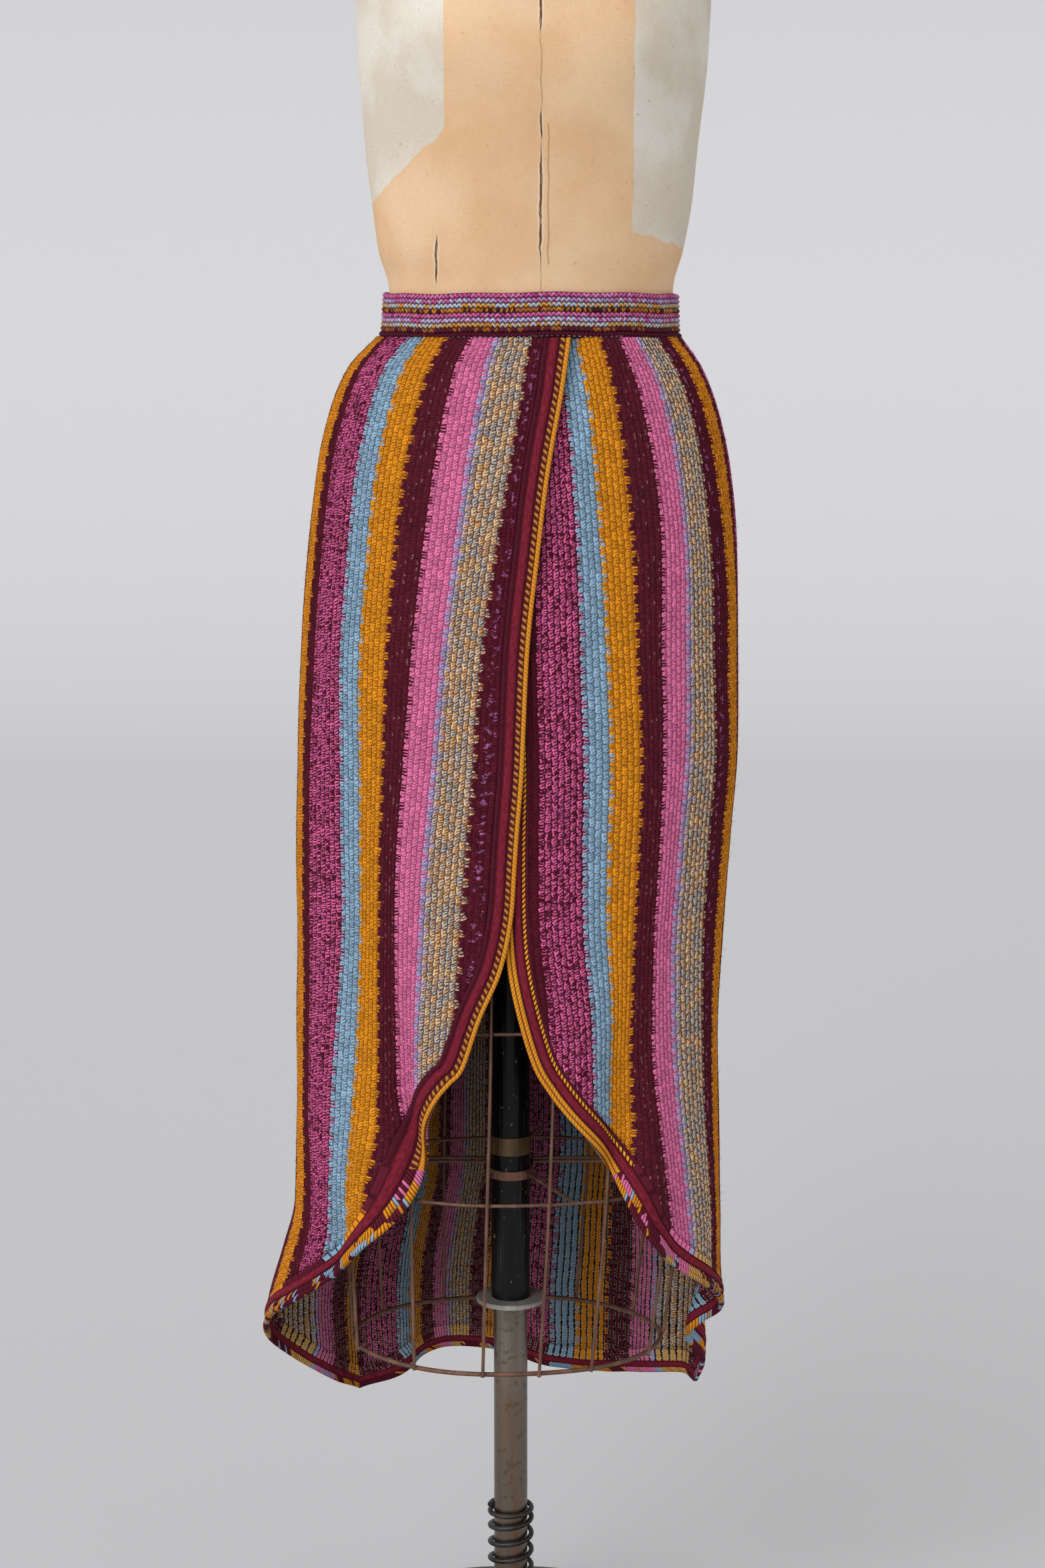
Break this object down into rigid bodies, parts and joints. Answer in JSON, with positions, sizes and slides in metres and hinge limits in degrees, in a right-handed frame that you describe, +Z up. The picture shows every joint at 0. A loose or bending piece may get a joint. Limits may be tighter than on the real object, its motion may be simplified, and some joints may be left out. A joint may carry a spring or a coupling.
{
  "type": "knit skirt on a dress form",
  "caption": "Long striped knit wrap skirt with curved bound edges, worn by a limbless dress form with a wire cage on a pole stand.",
  "frame": {"origin": "on the floor, at the middle of the round base and of the pole", "axes": "+Z up along the pole; the front of the skirt, where its two front panels lap, faces -Y; +X is the wearer's left"},
  "size_m": [0.446, 0.446, 1.7903],
  "materials": {
    "striped_knit": "thick striped slip-stitch knit in pink, light blue, orange, burgundy and tan, slightly fuzzy",
    "bound_edge": "dull red tape between twisted orange and black cords",
    "waistband": "rows of coloured chain stitches",
    "canvas": "old peach canvas, worn and stained",
    "painted_iron": "black paint",
    "worn_steel": "worn, with rust near the floor",
    "black_tube": "scuffed black",
    "brass": "dull",
    "rusty_wire": "brown, rusted",
    "turned_wood": "old varnish"
  },
  "bodies": {
    "stand": {"base": "painted_iron", "pole": "worn_steel", "spring": "black_tube"},
    "carriage": {"collar": "worn_steel"},
    "form": {"waistband": "waistband", "front_right_panel": "striped_knit", "front_left_panel": "striped_knit", "back_panel": "striped_knit", "front_right_edge": "bound_edge", "front_left_edge": "bound_edge", "back_hem_edge": "bound_edge", "torso": "canvas", "arm_plate_right": "canvas", "arm_plate_left": "canvas", "neck_cap": "turned_wood", "bottom_board": "turned_wood", "cage_ring_top": "rusty_wire", "cage_ring_middle": "rusty_wire", "cage_ring_bottom": "rusty_wire", "cage_wire_01": "rusty_wire", "cage_wire_02": "rusty_wire", "cage_wire_03": "rusty_wire", "cage_wire_04": "rusty_wire", "cage_wire_05": "rusty_wire", "cage_wire_06": "rusty_wire", "cage_wire_07": "rusty_wire", "cage_wire_08": "rusty_wire", "cage_wire_09": "rusty_wire", "cage_wire_10": "rusty_wire", "cage_wire_11": "rusty_wire", "cage_wire_12": "rusty_wire", "cage_bar_front": "rusty_wire", "cage_bar_back": "rusty_wire", "cage_strap": "rusty_wire", "cage_brace_right": "rusty_wire", "cage_brace_left": "rusty_wire", "inner_tube": "black_tube", "tube_ferrule": "brass"}
  },
  "joints": [
    {"name": "height_slide", "type": "slide", "parent": "stand", "child": "carriage", "axis": [0, 0, 1], "range_m": [-0.12, 0.18]},
    {"name": "turn", "type": "hinge", "parent": "carriage", "child": "form", "pos_m": [0, 0, 0.366], "axis": [0, 0, 1], "continuous": true}
  ]
}
